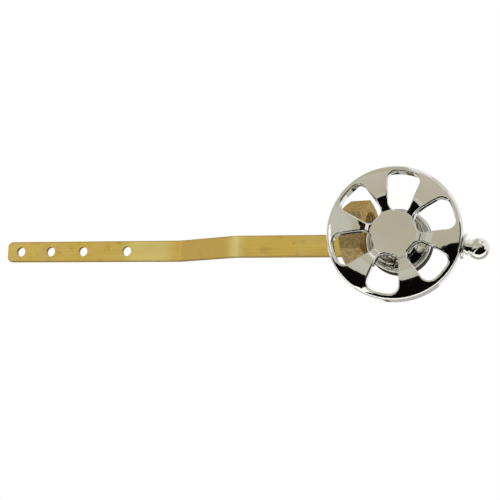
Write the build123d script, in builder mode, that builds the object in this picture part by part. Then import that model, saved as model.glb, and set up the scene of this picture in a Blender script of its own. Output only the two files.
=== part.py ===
"""Front-mount cistern lever: a six-window wheel handle on a spindle that turns in a threaded
shank through the tank wall, and a flat joggled arm with chain holes behind the wall.

Frame, in millimetres: X to the right along the arm's line, Y into the tank, Z up.
The origin is on the spindle's axis, where the shank's thread starts, just behind the gasket.
"""

import os
from math import asin, cos, degrees, radians, sin, sqrt, tan

from build123d import *

# Fits and small clearances
running_gap = 0.08
seat_gap = 0.3
slip_fit = 0.05
same_place = 0.001

# Flange, gasket and threaded shank
gasket_thickness = 6.4
gasket_radius = 13.6
gasket_round = 0.6
flange_radius = 13.3
ring_radius = 12.6
ring_height = 2.1
ring_width = 1.3
dish_radius = 8.8
dish_floor = 0.8
shank_radius = 10.4
shank_length = 17.2
shank_chamfer = 1.0
thread_runout = 0.4
relief_depth = 0.8

# Spindle and its bearings
spindle_radius = 4.5
spindle_flat = 0.8
bush_radius = 6.5
bush_length = 10.0
bush_flange_radius = 9.2
bush_flange = 1.5
washer_thickness = 0.6
washer_radius = 7.6
square_side = 6.2
tapping_radius = 1.7
tapping_depth = 12.0

# Wheel handle
wheel_radius = 26.8
wheel_crest_radius = 16.0
wheel_hub_radius = 9.8
wheel_hub_crease = 2.0
wheel_front = 28.8
wheel_hub_recess = 3.0
wheel_shoulder = 3.2
wheel_rim_round = 1.8
wheel_skirt_end = 19.3
wheel_skirt_wall = 1.8
wheel_plate = 3.4
boss_radius = 8.0
socket_depth = 9.5
knob_angle = -10.7
window_count = 6
window_inner = 9.0
window_rim = 2.4
window_inner_half = 3.9
window_outer_half = 6.9
window_inner_round = 3.3
window_outer_round = 3.5
window_edge_round = 0.7

# Ball finial on the rim
finial_depth = 22.4
finial_flange_radius = 5.2
finial_flange = 1.2
finial_neck_radius = 3.2
finial_waist_radius = 2.6
finial_neck = 2.6
finial_ball_radius = 4.25
stud_radius = 2.0
stud_length = 7.0
stud_boss_radius = 3.0

# Grub screw in the boss
grub_radius = 2.0
grub_hex = 2.0
grub_hex_depth = 1.8

# Flat arm
arm_width = 10.0
arm_thickness = 2.0
arm_rise = 3.0
arm_reach = 197.4
joggle_start = 77.8
joggle_end = 107.3
joggle_depth = 10.6
bend_radius = 5.0
arm_end_round = 2.6
arm_edge_round = 0.35
root_blend = 4.0
chain_hole_radius = 2.3
chain_holes_from_tip = (63.1, 40.4, 23.2, 7.2)

# Screw and split washer on the spindle's end
screw_radius = 2.0
screw_head_radius = 4.0
screw_head = 2.6
screw_length = 9.0
slot_width = 1.1
slot_depth = 1.2
split_washer = 1.1
split_washer_radius = 3.6
split_gap = 0.9

# Lock nut, off the shank and strung on the arm
nut_flats = 27.5
nut_thickness = 10.5
nut_thread_depth = 0.6
nut_chamfer_angle = 22.0
nut_place = 20.2
nut_yaw = 10.0

# Places along the spindle's axis, worked out from the sizes above
gasket_back = -thread_runout
relief_end = gasket_back + seat_gap
flange_back = gasket_back - gasket_thickness
flange_front = flange_back - ring_height
floor_y = flange_back - dish_floor
boss_back = floor_y - washer_thickness - seat_gap
bush_back = shank_length + bush_flange
arm_front = bush_back + seat_gap
arm_back = arm_front + arm_thickness
hub_front = -wheel_front + wheel_hub_recess
hub_back = hub_front + wheel_plate
socket_front = boss_back - socket_depth
rim_shoulder = -wheel_front + wheel_shoulder
skirt_inner = wheel_radius - wheel_skirt_wall
window_outer = wheel_radius - window_rim
brim_run = wheel_radius - wheel_rim_round - wheel_crest_radius
brim_squares = brim_run**2 + wheel_shoulder**2 - wheel_rim_round**2
brim_radius = brim_squares / (2 * (wheel_shoulder - wheel_rim_round))
brim_slope = degrees(asin(brim_run / (brim_radius - wheel_rim_round)))
bore_radius = spindle_radius + running_gap
root_radius = arm_rise + arm_width / 2


def facing_front(y):
    """A sketch plane across the axis at depth y: X right, Z up, extruding towards the front."""
    return Plane.XZ.offset(-y)


def radial_plane(angle, y):
    """A plane through the axis at depth y whose own X runs outwards at the given angle."""
    outwards = (cos(radians(angle)), 0, sin(radians(angle)))
    return Plane(origin=(0, y, 0), x_dir=outwards, z_dir=(0, -1, 0))


def outward_plane(angle, y, distance):
    """A plane square to that outward direction, at a distance from the axis."""
    outwards = (cos(radians(angle)), 0, sin(radians(angle)))
    middle = (outwards[0] * distance, y, outwards[2] * distance)
    return Plane(origin=middle, x_dir=(0, 1, 0), z_dir=outwards)


def round_axis(edge):
    """True for the smooth seams that run round the wheel's axis between the windows."""
    reach = [sqrt((edge @ step).X ** 2 + (edge @ step).Z ** 2) for step in (0, 0.5, 1)]
    return max(reach) - min(reach) < same_place and abs(reach[0] - window_outer) > same_place


os.makedirs("parts", exist_ok=True)

# Wheel handle: a dished plate with a deep rim, hollow behind, and a boss for the spindle
with BuildSketch() as window_outline:
    with BuildLine():
        outer_angle = degrees(asin(window_outer_half / window_outer))
        outer_arc = CenterArc((0, 0), window_outer, -outer_angle, 2 * outer_angle)
        inner_line = Line((window_inner, window_inner_half), (window_inner, -window_inner_half))
        Line(inner_line @ 1, outer_arc @ 0)
        Line(outer_arc @ 1, inner_line @ 0)
    make_face()
    fillet(window_outline.vertices().group_by(Axis.X)[0], window_inner_round)
    fillet(window_outline.vertices().group_by(Axis.X)[-1], window_outer_round)

with BuildPart() as wheel_handle:
    with BuildSketch(Plane.XY) as wheel_profile:
        with BuildLine():
            hub_line = Line((0, hub_front), (wheel_hub_radius, hub_front))
            crest = (wheel_crest_radius, -wheel_front)
            TangentArc(crest, hub_line @ 1, tangent=(-1, 0))
            brim_centre = (wheel_crest_radius, -wheel_front + brim_radius)
            CenterArc(brim_centre, brim_radius, -90, brim_slope)
            rim_centre = (wheel_radius - wheel_rim_round, rim_shoulder)
            shoulder = CenterArc(rim_centre, wheel_rim_round, brim_slope - 90, 90 - brim_slope)
            skirt = Line(shoulder @ 1, (wheel_radius, -wheel_skirt_end))
            skirt_foot = Line(skirt @ 1, (0, -wheel_skirt_end))
            Line(skirt_foot @ 1, hub_line @ 0)
        make_face()
        hub_crease = (wheel_hub_radius, hub_front)
        fillet(wheel_profile.vertices().sort_by_distance(hub_crease)[0], wheel_hub_crease)
    revolve(axis=Axis.Y)
    with BuildSketch(facing_front(boss_back)):
        with PolarLocations(0, window_count, knob_angle + 180 / window_count):
            add(window_outline.sketch)
    extrude(amount=wheel_front, mode=Mode.SUBTRACT)
    # Soft cast edge round the front of each window
    cut_edges = wheel_handle.edges(Select.LAST).filter_by(Axis.Y, reverse=True)
    front_edges = cut_edges.filter_by_position(Axis.Y, -wheel_front, -wheel_skirt_end - wheel_plate)
    fillet(front_edges.filter_by(round_axis, reverse=True), window_edge_round)
    # Hollow behind the plate, and the boss standing in it
    with BuildSketch(Plane.XY):
        with BuildLine():
            hollow_mouth = Line((0, -wheel_skirt_end), (skirt_inner, -wheel_skirt_end))
            hollow = FilletPolyline(
                hollow_mouth @ 1,
                (skirt_inner, rim_shoulder + wheel_skirt_wall / 2),
                (wheel_crest_radius, -wheel_front + wheel_plate),
                (boss_radius + wheel_hub_crease, hub_back),
                (0, hub_back),
                radius=wheel_hub_crease,
            )
            Line(hollow @ 1, hollow_mouth @ 0)
        make_face()
    revolve(axis=Axis.Y, mode=Mode.SUBTRACT)
    with BuildSketch(facing_front(boss_back)):
        Circle(boss_radius)
    extrude(amount=boss_back - hub_back)
    # Thickened spoke behind the rim that takes the finial's stud
    with BuildSketch(outward_plane(knob_angle, -finial_depth, skirt_inner - stud_length)):
        Circle(stud_boss_radius)
    extrude(amount=stud_length + wheel_skirt_wall / 2)
    with BuildSketch(outward_plane(knob_angle, -finial_depth, wheel_radius)):
        Circle(stud_radius + slip_fit)
    extrude(amount=-stud_length - slip_fit, mode=Mode.SUBTRACT)
    # Socket for the spindle, and the grub screw's hole below it
    with BuildSketch(facing_front(boss_back)):
        Circle(spindle_radius + slip_fit)
    extrude(amount=socket_depth, mode=Mode.SUBTRACT)
    with BuildSketch(outward_plane(-90, boss_back - socket_depth / 2, boss_radius)):
        Circle(grub_radius + slip_fit)
    extrude(amount=-boss_radius, mode=Mode.SUBTRACT)
wheel_handle.part.label = "wheel_handle"
export_step(wheel_handle.part, "parts/wheel_handle.step")

# Ball finial: stud, flange, grooved neck and ball turned in one piece
finial_plane = radial_plane(knob_angle, -finial_depth)
neck_end = wheel_radius + finial_flange + finial_neck
ball_centre = neck_end + sqrt(finial_ball_radius**2 - (finial_neck_radius + seat_gap) ** 2)
groove = finial_neck / 5
with BuildPart() as ball_finial:
    with BuildSketch(finial_plane):
        with BuildLine():
            stud_end = Line((wheel_radius - stud_length, 0), (wheel_radius - stud_length, stud_radius))
            stud_side = Line(stud_end @ 1, (wheel_radius, stud_radius))
            flange_face = Line(stud_side @ 1, (wheel_radius, finial_flange_radius - finial_flange / 2))
            flange_rim = ThreePointArc(
                flange_face @ 1,
                (wheel_radius + finial_flange / 2, finial_flange_radius),
                (wheel_radius + finial_flange, finial_flange_radius - finial_flange / 2),
            )
            neck = Polyline(
                flange_rim @ 1,
                (wheel_radius + finial_flange, finial_waist_radius),
                (wheel_radius + finial_flange + groove, finial_waist_radius),
                (wheel_radius + finial_flange + groove, finial_neck_radius),
                (neck_end - 2 * groove, finial_neck_radius),
                (neck_end - 2 * groove, finial_waist_radius),
                (neck_end - groove, finial_waist_radius),
                (neck_end - groove, finial_neck_radius),
                (neck_end, finial_neck_radius),
                (neck_end, sqrt(finial_ball_radius**2 - (ball_centre - neck_end) ** 2)),
            )
            ball = ThreePointArc(
                neck @ 1,
                (ball_centre, finial_ball_radius),
                (ball_centre + finial_ball_radius, 0),
            )
            Line(ball @ 1, stud_end @ 0)
        make_face()
    revolve(axis=Axis(finial_plane.origin, finial_plane.x_dir))
ball_finial.part.label = "ball_finial"
export_step(ball_finial.part, "parts/ball_finial.step")

# Spindle: flat under the grub screw at the front, squared and tapped at the back
spindle_front = socket_front + slip_fit
with BuildPart() as spindle:
    with BuildSketch(facing_front(arm_front)):
        Circle(spindle_radius)
    extrude(amount=arm_front - spindle_front)
    with BuildSketch(facing_front(spindle_front)):
        with Locations((0, -spindle_radius)):
            Rectangle(2 * spindle_radius, 2 * spindle_flat)
    extrude(amount=spindle_front - boss_back, mode=Mode.SUBTRACT)
    with BuildSketch(facing_front(arm_front)):
        Rectangle(square_side, square_side)
    extrude(amount=-arm_thickness + seat_gap)
    with BuildSketch(facing_front(arm_back - seat_gap)):
        Circle(tapping_radius)
    extrude(amount=tapping_depth, mode=Mode.SUBTRACT)
spindle.part.label = "spindle"
export_step(spindle.part, "parts/spindle.step")

# Grub screw that bears on the spindle's flat
grub_y = boss_back - socket_depth / 2
grub_tip = spindle_radius - spindle_flat
grub_length = boss_radius - seat_gap - grub_tip
with BuildPart() as handle_set_screw:
    with BuildSketch(outward_plane(-90, grub_y, grub_tip)):
        Circle(grub_radius)
    extrude(amount=grub_length)
    chamfer(handle_set_screw.edges().group_by(Axis.Z)[-1], grub_radius / 4)
    with BuildSketch(outward_plane(-90, grub_y, grub_tip + grub_length)):
        RegularPolygon(grub_hex / 2, 6, major_radius=False)
    extrude(amount=-grub_hex_depth, mode=Mode.SUBTRACT)
handle_set_screw.part.label = "handle_set_screw"
export_step(handle_set_screw.part, "parts/handle_set_screw.step")

# Escutcheon: dished flange with a rounded lip, in one piece with the shank
ring_half = ring_width / 2
with BuildPart() as escutcheon:
    with BuildSketch(Plane.XY):
        with BuildLine():
            floor_line = Line((bore_radius, floor_y), (dish_radius, floor_y))
            dish = Spline(
                floor_line @ 1,
                (ring_radius - ring_half, flange_front + ring_half),
                tangents=((1, 0), (0.3, -1)),
            )
            ring = ThreePointArc(
                dish @ 1,
                (ring_radius, flange_front),
                (ring_radius + ring_half, flange_front + ring_half),
            )
            Polyline(
                ring @ 1,
                (flange_radius, flange_back),
                (shank_radius - relief_depth, flange_back),
                (shank_radius - relief_depth, relief_end),
                (shank_radius, relief_end),
                (shank_radius, shank_length - shank_chamfer),
                (shank_radius - shank_chamfer, shank_length),
                (bush_radius + slip_fit, shank_length),
                (bush_radius + slip_fit, shank_length - bush_length),
                (bore_radius, shank_length - bush_length),
                floor_line @ 0,
            )
        make_face()
    revolve(axis=Axis.Y)
escutcheon.part.label = "escutcheon"
export_step(escutcheon.part, "parts/escutcheon.step")

# Slip washer on the dish's floor, behind the wheel's boss
with BuildPart() as thrust_washer:
    with BuildSketch(facing_front(floor_y)):
        Circle(washer_radius)
        Circle(bore_radius, mode=Mode.SUBTRACT)
    extrude(amount=washer_thickness)
thrust_washer.part.label = "thrust_washer"
export_step(thrust_washer.part, "parts/thrust_washer.step")

# Rubber gasket between the flange and the tank
with BuildPart() as flange_gasket:
    with BuildSketch(facing_front(gasket_back)):
        Circle(gasket_radius)
        Circle(shank_radius + slip_fit, mode=Mode.SUBTRACT)
    extrude(amount=gasket_thickness)
    fillet(flange_gasket.edges().group_by(SortBy.LENGTH)[-1], gasket_round)
flange_gasket.part.label = "flange_gasket"
export_step(flange_gasket.part, "parts/flange_gasket.step")

# Flanged bush in the back of the shank
with BuildPart() as shank_bush:
    with BuildSketch(facing_front(shank_length)):
        Circle(bush_radius)
    extrude(amount=bush_length)
    with BuildSketch(facing_front(bush_back)):
        Circle(bush_flange_radius)
    extrude(amount=bush_flange)
    with BuildSketch(facing_front(bush_back)):
        Circle(bore_radius)
    extrude(amount=bush_flange + bush_length, mode=Mode.SUBTRACT)
shank_bush.part.label = "shank_bush"
export_step(shank_bush.part, "parts/shank_bush.step")

# Arm: one flat strip with a joggle, round root eye, rounded tip and chain holes
far_front = arm_front + joggle_depth
with BuildPart() as arm:
    with BuildSketch(Plane.XY.offset(arm_rise - arm_width / 2)):
        with BuildLine():
            FilletPolyline(
                (-arm_reach, far_front),
                (-joggle_end, far_front),
                (-joggle_start, arm_front),
                (0, arm_front),
                radius=bend_radius,
            )
            offset(amount=arm_thickness, side=Side.LEFT)
        make_face()
    extrude(amount=arm_width)
    with BuildSketch(facing_front(arm_front)):
        Circle(root_radius)
    extrude(amount=-arm_thickness)
    throat_drop = arm_rise - arm_width / 2
    throat = (-sqrt(root_radius**2 - throat_drop**2), arm_front, throat_drop)
    fillet(arm.edges().filter_by(Axis.Y).sort_by_distance(throat)[0], root_blend)
    fillet(arm.edges().filter_by(Axis.Y).group_by(Axis.X)[0], arm_end_round)
    outline = arm.edges().filter_by(Axis.Y, reverse=True)
    bend_lines = outline.filter_by(Axis.Z).filter_by_position(Axis.X, -joggle_end - arm_width, 0)
    fillet(outline - bend_lines, arm_edge_round)
    with BuildSketch(facing_front(far_front)):
        with Locations([(place - arm_reach, arm_rise) for place in chain_holes_from_tip]):
            Circle(chain_hole_radius)
    extrude(amount=-arm_thickness, mode=Mode.SUBTRACT)
    with BuildSketch(facing_front(arm_front)):
        Rectangle(square_side + 2 * slip_fit, square_side + 2 * slip_fit)
    extrude(amount=-arm_thickness, mode=Mode.SUBTRACT)
arm.part.label = "arm"
export_step(arm.part, "parts/arm.step")

# Split washer under the screw's head
with BuildPart() as spring_washer:
    with BuildSketch(facing_front(arm_back)):
        Circle(split_washer_radius)
        Circle(screw_radius + slip_fit, mode=Mode.SUBTRACT)
        with Locations((0, split_washer_radius)):
            Rectangle(split_gap, 2 * split_washer_radius, rotation=20, mode=Mode.SUBTRACT)
    extrude(amount=-split_washer)
spring_washer.part.label = "spring_washer"
export_step(spring_washer.part, "parts/spring_washer.step")

# Slotted screw into the spindle's end
head_seat = arm_back + split_washer
with BuildPart() as arm_screw:
    with BuildSketch(facing_front(head_seat)):
        Circle(screw_head_radius)
    extrude(amount=-screw_head)
    fillet(arm_screw.edges().group_by(Axis.Y)[-1], screw_head / 2)
    with BuildSketch(facing_front(head_seat)):
        Circle(tapping_radius - slip_fit)
    extrude(amount=screw_length)
    with BuildSketch(facing_front(head_seat + screw_head)):
        Rectangle(2 * screw_head_radius, slot_width, rotation=35)
    extrude(amount=slot_depth, mode=Mode.SUBTRACT)
arm_screw.part.label = "arm_screw"
export_step(arm_screw.part, "parts/arm_screw.step")

# Lock nut: hexagon with chamfered corners, its bore resting on the arm's lower edge
nut_bore = shank_radius - nut_thread_depth
nut_half = nut_thickness / 2
strip_half = arm_thickness / 2 / cos(radians(nut_yaw)) + nut_half * tan(radians(nut_yaw))
nut_rise = sqrt((nut_bore - slip_fit) ** 2 - strip_half**2) - arm_width / 2
nut_centre = (-nut_place, arm_front + arm_thickness / 2, arm_rise + nut_rise)
nut_upright = Plane(origin=nut_centre, x_dir=(0, 0, 1), z_dir=(1, 0, 0))
nut_across = nut_upright.rotated((0, 0, -nut_yaw))
nut_along = Plane(origin=nut_centre, x_dir=nut_across.x_dir, z_dir=nut_across.y_dir)
nut_corner = nut_flats / sqrt(3)
corner_drop = (nut_corner - nut_flats / 2) * tan(radians(nut_chamfer_angle))
with BuildPart() as lock_nut:
    with BuildSketch(nut_across):
        RegularPolygon(nut_corner, 6)
    extrude(amount=nut_half, both=True)
    with BuildSketch(nut_along):
        Polygon(
            (0, -nut_half),
            (nut_flats / 2, -nut_half),
            (nut_corner, -nut_half + corner_drop),
            (nut_corner, nut_half - corner_drop),
            (nut_flats / 2, nut_half),
            (0, nut_half),
            align=None,
        )
    revolve(axis=Axis(nut_centre, nut_across.z_dir), mode=Mode.INTERSECT)
    with BuildSketch(nut_across):
        Circle(nut_bore)
    extrude(amount=nut_half, both=True, mode=Mode.SUBTRACT)
lock_nut.part.label = "lock_nut"
export_step(lock_nut.part, "parts/lock_nut.step")
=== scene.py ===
"""Looks of the cistern lever, in metres: finishes, screw threads, stage, light and camera."""

from math import cos, pi, radians, sin, tan

import bpy
from mathutils import Matrix, Vector


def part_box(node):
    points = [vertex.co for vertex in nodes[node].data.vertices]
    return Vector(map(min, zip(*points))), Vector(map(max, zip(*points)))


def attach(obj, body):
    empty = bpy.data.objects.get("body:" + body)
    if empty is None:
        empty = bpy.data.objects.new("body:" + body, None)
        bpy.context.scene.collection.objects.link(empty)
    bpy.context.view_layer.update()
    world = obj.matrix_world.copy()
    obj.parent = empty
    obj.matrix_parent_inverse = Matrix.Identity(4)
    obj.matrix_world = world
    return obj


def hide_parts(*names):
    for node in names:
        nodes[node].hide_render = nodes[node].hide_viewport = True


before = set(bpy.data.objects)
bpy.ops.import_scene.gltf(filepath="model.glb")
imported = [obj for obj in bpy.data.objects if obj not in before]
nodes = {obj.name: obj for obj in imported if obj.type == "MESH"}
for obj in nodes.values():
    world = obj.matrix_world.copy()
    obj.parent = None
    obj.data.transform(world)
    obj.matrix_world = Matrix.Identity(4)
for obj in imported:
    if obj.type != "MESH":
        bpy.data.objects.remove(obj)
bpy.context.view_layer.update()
mm = 0.001


# Helpers for materials

def linear(code):
    """An sRGB hex colour as linear red, green, blue and full alpha."""
    parts = [int(code[i:i + 2], 16) / 255 for i in (1, 3, 5)]
    return [p / 12.92 if p <= 0.04045 else ((p + 0.055) / 1.055) ** 2.4 for p in parts] + [1.0]


def add(tree, kind, inputs, out=0, **settings):
    """Adds a node and gives back one output; each input, by name or number, takes a value or a link."""
    node = tree.nodes.new("ShaderNode" + kind)
    for key, value in settings.items():
        setattr(node, key, value)
    for key, value in inputs.items():
        if isinstance(value, bpy.types.NodeSocket):
            tree.links.new(value, node.inputs[key])
        else:
            node.inputs[key].default_value = value
    return node.outputs[out] if node.outputs else None


def blank_material(name):
    """An empty material, its node tree and the place on the object."""
    material = bpy.data.materials.new(name)
    material.use_nodes = True
    tree = material.node_tree
    tree.nodes.clear()
    return material, tree, add(tree, "TexCoord", {}, out="Object")


# Finishes

def chrome_plate():
    """Bright chrome on die-cast zinc: a cold white mirror, faintly wavy where the buffing wheel pressed."""
    material, tree, place = blank_material("chrome_plated_zinc")
    film = add(tree, "TexNoise", {"Vector": place, "Scale": 1 / (9 * mm), "Detail": 3.0})
    waves = add(tree, "TexNoise", {"Vector": place, "Scale": 1 / (2.5 * mm), "Detail": 1.0})
    tint = add(tree, "Mix", {0: film, 6: linear("#E6E3DC"), 7: linear("#D9D8D5")}, out=2, data_type="RGBA")
    polish = add(tree, "MapRange", {0: film, 1: 0.3, 2: 0.7, 3: 0.025, 4: 0.06})
    relief = add(tree, "Bump", {"Height": waves, "Distance": 0.004 * mm})
    skin = {"Base Color": tint, "Roughness": polish, "Metallic": 1.0, "Normal": relief}
    add(tree, "OutputMaterial", {"Surface": add(tree, "BsdfPrincipled", skin)})
    return material


# Painted light along the arm, on its front faces: a painted highlight on the flat past the joggle, painted
# shade on the joggle, a painted highlight on the bend at its start and a brighter painted highlight line on
# that bend, each with its middle, how far it is whole and gone in millimetres, its share and colour
painted_light_stretches = [
    (-123, 6, 16, 0.7, "#FFEC9C"),
    (-93, 11, 15, 0.7, "#E6C16E"),
    (-77.2, 0.6, 6.0, 0.7, "#FFEC9E"),
    (-76.5, 0.2, 1.4, 0.9, "#FFF0AC"),
]
# The strip's middle lies above the spindle; its side faces and hole walls get painted shade, a thin band
# along its front edges is drawn darker, and the eye at its root stays clean
arm_rise = 3.0 * mm
edge_band_clear, edge_band_full = 4.3 * mm, 4.9 * mm
eye_end, strip_start = -12 * mm, -16 * mm


def rolled_brass():
    """Rolled brass strip: satin, fine lines along it, stains from handling, painted highlights and shade
    along it, painted shade on its sides and a darker band at its edges.
    """
    material, tree, place = blank_material("rolled_brass_strip")
    # The rolled lines are finer than this on the real strip: they are drawn 0.5 mm apart so that they show
    drawn = {"Vector": place, "Scale": (1 / (25 * mm), 1 / (10 * mm), 1 / (0.5 * mm))}
    lines = add(tree, "TexNoise", {"Vector": add(tree, "Mapping", drawn), "Scale": 1.0, "Detail": 4.0})
    bands = {"Vector": place, "Scale": (1 / (50 * mm), 1 / (30 * mm), 1 / (3 * mm))}
    broad = add(tree, "TexNoise", {"Vector": add(tree, "Mapping", bands), "Scale": 1.0, "Detail": 3.0})
    patches = add(tree, "TexNoise", {"Vector": place, "Scale": 1 / (14 * mm), "Detail": 3.0})
    in_line = add(tree, "MapRange", {0: lines, 1: 0.3, 2: 0.7})
    tone = {0: in_line, 6: linear("#F8D774"), 7: linear("#EBC362")}
    tone = add(tree, "Mix", tone, out=2, data_type="RGBA")
    in_patch = add(tree, "MapRange", {0: patches, 1: 0.4, 2: 0.75, 3: 0.0, 4: 0.6})
    tone = add(tree, "Mix", {0: in_patch, 6: tone, 7: linear("#EFD68C")}, out=2, data_type="RGBA")
    handled = add(tree, "TexNoise", {"Vector": place, "Scale": 1 / (4 * mm), "Detail": 5.0})
    on_stain = add(tree, "MapRange", {0: handled, 1: 0.56, 2: 0.72, 3: 0.0, 4: 0.45})
    tone = add(tree, "Mix", {0: on_stain, 6: tone, 7: linear("#C4A14E")}, out=2, data_type="RGBA")
    along = add(tree, "SeparateXYZ", {0: place})
    facing = add(tree, "SeparateXYZ", {0: add(tree, "NewGeometry", {}, out="Normal")}, out=1)
    in_front = add(tree, "MapRange", {0: facing, 1: 0.0, 2: -0.5})
    # Painted highlights and painted shade along the arm, on its front faces only
    for middle, full, gone, share, colour in painted_light_stretches:
        away = add(tree, "Math", {0: along, 1: middle * mm}, operation="SUBTRACT")
        away = add(tree, "Math", {0: away}, operation="ABSOLUTE")
        fade = {0: away, 1: full * mm, 2: gone * mm, 3: share, 4: 0.0}
        painted_light_share = add(tree, "MapRange", fade, interpolation_type="SMOOTHSTEP")
        painted_light_share = add(tree, "Math", {0: painted_light_share, 1: in_front}, operation="MULTIPLY")
        tone = add(tree, "Mix", {0: painted_light_share, 6: tone, 7: linear(colour)}, out=2, data_type="RGBA")
    flatness = add(tree, "Math", {0: facing}, operation="ABSOLUTE")
    painted_shade_and_edge_band = add(tree, "MapRange", {0: flatness, 1: 0.85, 2: 0.5, 3: 0.0, 4: 0.9})
    height = add(tree, "SeparateXYZ", {0: place}, out=2)
    across = add(tree, "Math", {0: height, 1: arm_rise}, operation="SUBTRACT")
    across = add(tree, "Math", {0: across}, operation="ABSOLUTE")
    at_edge = add(tree, "MapRange", {0: across, 1: edge_band_clear, 2: edge_band_full, 3: 0.0, 4: 0.6})
    off_eye = add(tree, "MapRange", {0: along, 1: eye_end, 2: strip_start})
    at_edge = add(tree, "Math", {0: at_edge, 1: off_eye}, operation="MULTIPLY")
    painted_shade_and_edge_band = add(tree, "Math", {0: painted_shade_and_edge_band, 1: at_edge}, operation="MAXIMUM")
    # Painted shade on the side faces and hole walls, and a darker band along the front edges
    tone = add(tree, "Mix", {0: painted_shade_and_edge_band, 6: tone, 7: linear("#8E7238")}, out=2, data_type="RGBA")
    satin = add(tree, "MapRange", {0: broad, 1: 0.3, 2: 0.7, 3: 0.3, 4: 0.42})
    relief = add(tree, "Bump", {"Height": lines, "Distance": 0.006 * mm})
    skin = {"Base Color": tone, "Roughness": satin, "Metallic": 1.0, "Normal": relief}
    add(tree, "OutputMaterial", {"Surface": add(tree, "BsdfPrincipled", skin)})
    return material


def cast_brass():
    """Sand-cast brass: grainy, brown in the pits and dull gold on the high spots."""
    material, tree, place = blank_material("sand_cast_brass")
    coarse = add(tree, "TexNoise", {"Vector": place, "Scale": 1 / (1.4 * mm), "Detail": 3.0})
    fine = add(tree, "TexNoise", {"Vector": place, "Scale": 1 / (0.5 * mm), "Detail": 3.0})
    in_pit = add(tree, "MapRange", {0: coarse, 1: 0.35, 2: 0.65})
    tone = add(tree, "Mix", {0: in_pit, 6: linear("#94805A"), 7: linear("#BDA473")}, out=2, data_type="RGBA")
    on_grain = add(tree, "MapRange", {0: fine, 1: 0.45, 2: 0.7, 3: 0.0, 4: 0.6})
    tone = add(tree, "Mix", {0: on_grain, 6: tone, 7: linear("#DAC28E")}, out=2, data_type="RGBA")
    rough = add(tree, "MapRange", {0: fine, 1: 0.3, 2: 0.7, 3: 0.45, 4: 0.65})
    grains = add(tree, "Math", {0: coarse, 1: fine}, operation="ADD")
    relief = add(tree, "Bump", {"Height": grains, "Distance": 0.12 * mm})
    skin = {"Base Color": tone, "Roughness": rough, "Metallic": 1.0, "Normal": relief}
    skin["Specular Tint"] = linear("#E0CFA0")
    add(tree, "OutputMaterial", {"Surface": add(tree, "BsdfPrincipled", skin)})
    return material


def turned_brass():
    """Lathe-turned brass: bright, with fine rings left by the tool."""
    material, tree, place = blank_material("turned_brass")
    # The tool's rings are finer than this on a real screw: they are drawn 0.25 mm apart so that they show
    turned = {"Vector": place, "Scale": (1 / (12 * mm), 1 / (0.25 * mm), 1 / (12 * mm))}
    rings = add(tree, "TexNoise", {"Vector": add(tree, "Mapping", turned), "Scale": 1.0, "Detail": 3.0})
    film = add(tree, "TexNoise", {"Vector": place, "Scale": 1 / (4 * mm), "Detail": 3.0})
    in_film = add(tree, "MapRange", {0: film, 1: 0.3, 2: 0.7})
    tone = {0: in_film, 6: linear("#D6B468"), 7: linear("#C29C50")}
    tone = add(tree, "Mix", tone, out=2, data_type="RGBA")
    satin = add(tree, "MapRange", {0: film, 1: 0.3, 2: 0.7, 3: 0.22, 4: 0.36})
    relief = add(tree, "Bump", {"Height": rings, "Distance": 0.004 * mm})
    skin = {"Base Color": tone, "Roughness": satin, "Metallic": 1.0, "Normal": relief}
    add(tree, "OutputMaterial", {"Surface": add(tree, "BsdfPrincipled", skin)})
    return material


def zinc_plate():
    """Zinc-plated steel: pale blue-grey, lightly clouded."""
    material, tree, place = blank_material("zinc_plated_steel")
    cloud = add(tree, "TexNoise", {"Vector": place, "Scale": 1 / (1.2 * mm), "Detail": 3.0})
    in_cloud = add(tree, "MapRange", {0: cloud, 1: 0.3, 2: 0.7})
    tone = {0: in_cloud, 6: linear("#B4B8BC"), 7: linear("#989C9F")}
    tone = add(tree, "Mix", tone, out=2, data_type="RGBA")
    satin = add(tree, "MapRange", {0: cloud, 1: 0.3, 2: 0.7, 3: 0.25, 4: 0.4})
    relief = add(tree, "Bump", {"Height": cloud, "Distance": 0.005 * mm})
    skin = {"Base Color": tone, "Roughness": satin, "Metallic": 1.0, "Normal": relief}
    add(tree, "OutputMaterial", {"Surface": add(tree, "BsdfPrincipled", skin)})
    return material


def moulded_rubber():
    """Moulded rubber: matt brownish black, with a dusty bloom."""
    material, tree, place = blank_material("moulded_rubber")
    bloom = add(tree, "TexNoise", {"Vector": place, "Scale": 1 / (3 * mm), "Detail": 3.0})
    # The pores are finer than this on real rubber: they are drawn 0.3 mm apart so that they show
    pores = add(tree, "TexNoise", {"Vector": place, "Scale": 1 / (0.3 * mm), "Detail": 3.0})
    in_bloom = add(tree, "MapRange", {0: bloom, 1: 0.35, 2: 0.7})
    tone = {0: in_bloom, 6: linear("#281D10"), 7: linear("#3D2E17")}
    tone = add(tree, "Mix", tone, out=2, data_type="RGBA")
    matt = add(tree, "MapRange", {0: bloom, 1: 0.3, 2: 0.7, 3: 0.55, 4: 0.75})
    relief = add(tree, "Bump", {"Height": pores, "Distance": 0.02 * mm})
    skin = {"Base Color": tone, "Roughness": matt, "Specular IOR Level": 0.1, "Normal": relief}
    add(tree, "OutputMaterial", {"Surface": add(tree, "BsdfPrincipled", skin)})
    return material


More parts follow.
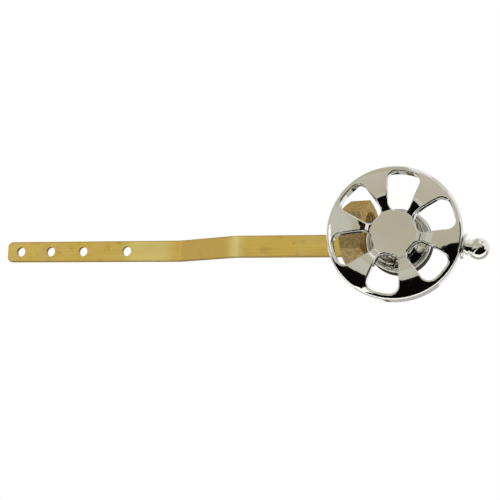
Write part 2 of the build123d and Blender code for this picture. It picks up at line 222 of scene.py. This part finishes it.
def natural_nylon():
    """Moulded natural nylon: creamy white, waxy, light sinking a little way into it."""
    material, tree, place = blank_material("natural_nylon")
    cloud = add(tree, "TexNoise", {"Vector": place, "Scale": 1 / (5 * mm), "Detail": 3.0})
    fine = add(tree, "TexNoise", {"Vector": place, "Scale": 1 / (0.4 * mm), "Detail": 3.0})
    in_cloud = add(tree, "MapRange", {0: cloud, 1: 0.3, 2: 0.7})
    tone = {0: in_cloud, 6: linear("#ECE7DA"), 7: linear("#DDD6C5")}
    tone = add(tree, "Mix", tone, out=2, data_type="RGBA")
    waxy = add(tree, "MapRange", {0: fine, 1: 0.3, 2: 0.7, 3: 0.38, 4: 0.5})
    relief = add(tree, "Bump", {"Height": fine, "Distance": 0.005 * mm})
    skin = {"Base Color": tone, "Roughness": waxy, "Normal": relief}
    skin.update({"Subsurface Weight": 0.2, "Subsurface Scale": 0.5 * mm})
    add(tree, "OutputMaterial", {"Surface": add(tree, "BsdfPrincipled", skin)})
    return material


chrome = chrome_plate()
nut_brass = cast_brass()
finishes = [
    (chrome, "chrome", ["wheel_handle", "ball_finial", "escutcheon"]),
    (rolled_brass(), "strip_brass", ["arm"]),
    (nut_brass, "cast_brass", ["lock_nut"]),
    (turned_brass(), "turned_brass", ["spindle", "arm_screw"]),
    (zinc_plate(), "steel", ["handle_set_screw", "spring_washer"]),
    (moulded_rubber(), "rubber", ["flange_gasket"]),
    (natural_nylon(), "nylon", ["thrust_washer", "shank_bush"]),
]
for material, slot, names in finishes:
    for name in names:
        nodes[name].data.materials.clear()
        nodes[name].data.materials.append(material)


# Turned pieces that carry a real screw thread, in place of the plain solids

round_steps = 120
thread_pitch = 1.5 * mm
thread_flat = 0.1
rows_per_turn = 12
shank_radius = 10.4 * mm
sharp_angle = radians(28)


def all_round(*spots):
    """Plain rings, each from one spot: a radius and a distance along the axis."""
    return [[spot] * round_steps for spot in spots]


def groove_depths(along):
    """The screw groove at each step round the axis, from 0 on the flat crest to 1 on the flat root."""
    flanks = [abs(2 * ((along / thread_pitch - j / round_steps) % 1) - 1) for j in range(round_steps)]
    return [min(1, max(0, (flank - thread_flat) / (1 - 2 * thread_flat))) for flank in flanks]


def evenly(start, end):
    """Distances along a thread, close enough together to draw its flanks."""
    count = round(abs(end - start) / thread_pitch * rows_per_turn)
    return [start + (end - start) * i / count for i in range(count + 1)]


def turned_piece(name, rings, centre, axis, body, stands_for, material):
    """A closed mesh through rings of spots round an axis, with angle 0 at the top."""
    centre, axis, top = Vector(centre), Vector(axis), Vector((0, 0, 1))
    side = axis.cross(top)
    points, faces = [], []
    for i, ring in enumerate(rings):
        after = (i + 1) % len(rings)
        for j, (radius, along) in enumerate(ring):
            angle = 2 * pi * j / round_steps
            points.append(centre + axis * along + (top * cos(angle) + side * sin(angle)) * radius)
            beside = (j + 1) % round_steps
            corners = ((i, j), (i, beside), (after, beside), (after, j))
            faces.append([level * round_steps + step for level, step in corners])
    mesh = bpy.data.meshes.new(name)
    mesh.from_pydata(points, [], faces)
    mesh.shade_smooth()
    mesh.set_sharp_from_angle(angle=sharp_angle)
    mesh.materials.append(material)
    piece = bpy.data.objects.new(name, mesh)
    bpy.context.scene.collection.objects.link(piece)
    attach(piece, body)
    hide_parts(stands_for)


def threaded_escutcheon():
    """Flange with a rounded lip and a shallow dish, and the shank with its thread behind it."""
    bore, bush, thread_root = 4.58 * mm, 6.55 * mm, 9.6 * mm
    dish, lip, lip_half, flange = 8.8 * mm, 12.6 * mm, 0.65 * mm, 13.3 * mm
    lip_front, floor, flange_back = -8.9 * mm, -7.6 * mm, -6.8 * mm
    thread_start, bush_seat, shank_end, chamfer = -0.1 * mm, 7.2 * mm, 17.2 * mm, 1.0 * mm
    lip_centre = lip_front + lip_half
    dish_steps, lip_steps = 8, 12
    front = [(bore, floor), (dish, floor)]
    for i in range(1, dish_steps + 1):
        angle = pi / 2 * i / dish_steps
        rise = (1 - cos(angle)) * (floor - lip_centre)
        front.append((dish + (lip - lip_half - dish) * sin(angle), floor - rise))
    for i in range(1, lip_steps + 1):
        angle = pi * i / lip_steps
        front.append((lip - lip_half * cos(angle), lip_centre - lip_half * sin(angle)))
    back = [(flange, flange_back), (thread_root, flange_back), (thread_root, thread_start)]
    rings = all_round(*front, *back)
    for along in evenly(thread_start, shank_end):
        widest = min(shank_radius, shank_radius - chamfer + shank_end - along)
        depth = shank_radius - thread_root
        rings.append([(min(widest, shank_radius - depth * share), along) for share in groove_depths(along)])
    rings += all_round((bush, shank_end), (bush, bush_seat), (bore, bush_seat))
    origin, into_tank = (0, 0, 0), (0, 1, 0)
    turned_piece("threaded_escutcheon", rings, origin, into_tank, "mounting", "escutcheon", chrome)


def threaded_lock_nut():
    """Hexagon nut with chamfered corners, a corner at the top, and a thread in its bore."""
    flats_half, half, bore = 13.75 * mm, 5.25 * mm, 9.8 * mm
    chamfer_angle, yaw = radians(22), radians(10)
    low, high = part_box("lock_nut")
    centre = (Vector(low) + Vector(high)) / 2
    wall, corner_drop = [], []
    for j in range(round_steps):
        from_flat = (2 * pi * j / round_steps) % (pi / 3) - pi / 6
        wall.append(flats_half / cos(from_flat))
        corner_drop.append((wall[j] - flats_half) * tan(chamfer_angle))
    rings = all_round((bore, -half), (flats_half, -half))
    rings.append([(radius, -half + drop) for radius, drop in zip(wall, corner_drop)])
    rings.append([(radius, half - drop) for radius, drop in zip(wall, corner_drop)])
    rings += all_round((flats_half, half), (bore, half))
    depth = shank_radius - bore
    for along in evenly(half, -half):
        rings.append([(bore + depth * (1 - share), along) for share in groove_depths(along)])
    axis = (cos(yaw), -sin(yaw), 0)
    turned_piece("threaded_lock_nut", rings, centre, axis, "lever", "lock_nut", nut_brass)


threaded_escutcheon()
threaded_lock_nut()


# Stage: a pale floor well below the lever, white surroundings, and cloths that only bright metal sees

def card(name, middle, facing, width, height, material):
    """A flat rectangle that belongs to the stage."""
    mesh = bpy.data.meshes.new(name)
    w, h = width / 2, height / 2
    mesh.from_pydata([(-w, -h, 0), (w, -h, 0), (w, h, 0), (-w, h, 0)], [], [(0, 1, 2, 3)])
    mesh.materials.append(material)
    flat = bpy.data.objects.new(name, mesh)
    bpy.context.scene.collection.objects.link(flat)
    turn = Vector(facing).to_track_quat("Z", "Y").to_matrix().to_4x4()
    flat.matrix_world = Matrix.Translation(middle) @ turn
    return flat


def cloth(name, lower, upper, strength=1.0, corner=None):
    """A cloth that shows its own colour, shading up from its lower edge and, if asked, to a low corner."""
    material, tree = blank_material(name)[:2]
    height = add(tree, "SeparateXYZ", {0: add(tree, "TexCoord", {}, out="Generated")}, out=1)
    shade = add(tree, "Mix", {0: height, 6: linear(lower), 7: linear(upper)}, out=2, data_type="RGBA")
    if corner:
        slant = {0: add(tree, "NewGeometry", {}, out="Position"), 1: corner_slant}
        slant = add(tree, "VectorMath", slant, out="Value", operation="DOT_PRODUCT")
        fade = {0: slant, 1: corner_whole, 2: corner_gone, 3: 1.0, 4: 0.0}
        in_corner = add(tree, "MapRange", fade, interpolation_type="SMOOTHSTEP")
        shade = add(tree, "Mix", {0: in_corner, 6: shade, 7: linear(corner)}, out=2, data_type="RGBA")
    add(tree, "OutputMaterial", {"Surface": add(tree, "Emission", {"Color": shade, "Strength": strength})})
    return material


floor_level = -0.2
paint_whole, paint_gone = 0.45, 1.0
floor_paint, tree, place = blank_material("pale_floor_paint")
mottle = add(tree, "TexNoise", {"Vector": place, "Scale": 1 / (60 * mm), "Detail": 3.0})
tone = add(tree, "Mix", {0: mottle, 6: linear("#F6F5F3"), 7: linear("#EFEEEB")}, out=2, data_type="RGBA")
matt = add(tree, "BsdfPrincipled", {"Base Color": tone, "Roughness": 0.8})
white = add(tree, "Emission", {"Color": linear("#FFFFFF"), "Strength": 1.0})
from_middle = add(tree, "VectorMath", {0: place}, out="Value", operation="LENGTH")
to_edge = add(tree, "MapRange", {0: from_middle, 1: paint_whole, 2: paint_gone})
add(tree, "OutputMaterial", {"Surface": add(tree, "MixShader", {0: to_edge, 1: matt, 2: white})})
card("floor", (0, -0.25, floor_level), (0, 0, 1), 2.4, 2.1, floor_paint)

# The front cloth's paler corner lies under a slanting line and fades out over a few centimetres
corner_slant = (0.6, 0.0, 1.0)
corner_whole, corner_gone = 0.06, 0.15
black = cloth("black_cloth", "#0B0A09", "#0B0A09")
grey = cloth("grey_cloth", "#C6C1AB", "#D2CFC0")
front_cloth = cloth("shaded_grey_cloth", "#C6C1AB", "#D2CFC0", corner="#D6D7CA")
cool_grey = cloth("cool_grey_cloth", "#C0C0B1", "#CFCFC4")
low_grey = cloth("low_grey_cloth", "#D0D0C2", "#D6D7CA")
pale_grey = cloth("pale_grey_cloth", "#BEBEB9", "#BEBEB9")
brown = cloth("brown_cloth", "#2A211C", "#2A211C")
light_brown = cloth("tan_cloth", "#6A5B42", "#6A5B42")
strip_white = cloth("white_strip", "#FFFFFF", "#FFFFFF", strength=1.8)
on_floor = floor_level + 0.01
on_cloth = on_floor + 0.002
cloths = [
    card("front_grey", (0, -1.3, 0.615), (0, 1, 0), 3.2, 1.49, front_cloth),
    card("top_grey", (-0.76, -0.35, 1.35), (0, 0, -1), 1.68, 2.0, grey),
    card("top_right_grey", (0.86, -0.35, 1.35), (0, 0, -1), 0.6, 0.8, grey),
    card("left_grey", (-1.6, -0.7, 0.58), (1, 0, 0), 1.2, 1.58, cool_grey),
    card("front_black", (0.2, -1.29, -0.16), (0, 1, 0), 2.6, 0.06, black),
    card("front_low", (-0.365, -1.29, -0.02), (0, 1, 0), 1.07, 0.22, low_grey),
    card("front_black_right", (0.885, -1.285, -0.04), (0, 1, 0), 1.43, 0.3, black),
    card("floor_black_right", (0.585, -0.68, on_floor), (0, 0, 1), 1.43, 1.22, black),
    card("floor_black_left", (-0.73, -0.68, on_floor), (0, 0, 1), 1.06, 1.22, black),
    card("back_grey", (0.4, 0.9, on_floor), (0, 0, 1), 1.2, 1.7, pale_grey),
    card("back_brown", (-0.8, 1.1, on_floor), (0, 0, 1), 1.2, 1.6, light_brown),
    card("back_black_right", (0.19, 1.09, on_cloth), (0, 0, 1), 0.14, 0.16, black),
    card("back_black_left", (-0.11, 0.81, on_cloth), (0, 0, 1), 0.1, 0.1, black),
    card("front_strip", (-1.25, -1.28, 0.18), (0, 1, 0), 0.1, 0.56, strip_white),
    card("right_brown", (0.85, -0.75, 0.1), (-0.85, 0.73, -0.1), 0.6, 0.5, brown),
]
for piece in cloths:
    piece.visible_camera = False
    piece.visible_diffuse = False
    piece.visible_shadow = False

world = bpy.data.worlds.new("white_surroundings")
bpy.context.scene.world = world
world.use_nodes = True
tree = world.node_tree
tree.nodes.clear()
camera_ray = add(tree, "LightPath", {}, out="Is Camera Ray")
glossy_ray = add(tree, "LightPath", {}, out="Is Glossy Ray")
glass_ray = add(tree, "LightPath", {}, out="Is Transmission Ray")
seen = add(tree, "Math", {0: camera_ray, 1: glossy_ray}, operation="MAXIMUM")
seen = add(tree, "Math", {0: seen, 1: glass_ray}, operation="MAXIMUM")
lighting_level, backdrop_level = 0.95, 1.0
strength = add(tree, "MapRange", {0: seen, 3: lighting_level, 4: backdrop_level})
sky = add(tree, "Background", {"Color": linear("#FFFFFF"), "Strength": strength})
add(tree, "OutputWorld", {"Surface": sky})


def softbox(name, place, target, size, power):
    """A square soft light aimed at a point; the mirror metal shows the cloths instead of it."""
    lamp = bpy.data.lights.new(name, "AREA")
    lamp.size = size
    lamp.energy = power
    holder = bpy.data.objects.new(name, lamp)
    bpy.context.scene.collection.objects.link(holder)
    aim = Vector(target) - Vector(place)
    holder.matrix_world = Matrix.Translation(place) @ aim.to_track_quat("-Z", "Y").to_matrix().to_4x4()
    holder.visible_glossy = False


softbox("key_softbox", (-0.6, -0.5, 0.9), target=(0, 0, 0), size=0.5, power=9)
softbox("fill_softbox", (0.8, -0.4, 0.7), target=(0, 0, 0), size=0.5, power=4)

# Camera at the photograph's viewing angle: in front of the lever, below it and a little to its right
camera_data = bpy.data.cameras.new("camera")
camera_data.sensor_width = 36.0
camera_data.lens = 72.0
camera_data.clip_start = 0.01
camera = bpy.data.objects.new("camera", camera_data)
bpy.context.scene.collection.objects.link(camera)
camera_place = (0.0465, -0.4122, -0.0750)
camera_yaw, camera_rise, camera_roll = radians(15.135), radians(9.693), radians(2.213)
turn = Matrix.Rotation(camera_yaw, 4, "Z") @ Matrix.Rotation(pi / 2 + camera_rise, 4, "X")
camera.matrix_world = Matrix.Translation(camera_place) @ turn @ Matrix.Rotation(camera_roll, 4, "Z")
bpy.context.scene.camera = camera
bpy.context.scene.view_settings.view_transform = "Standard"
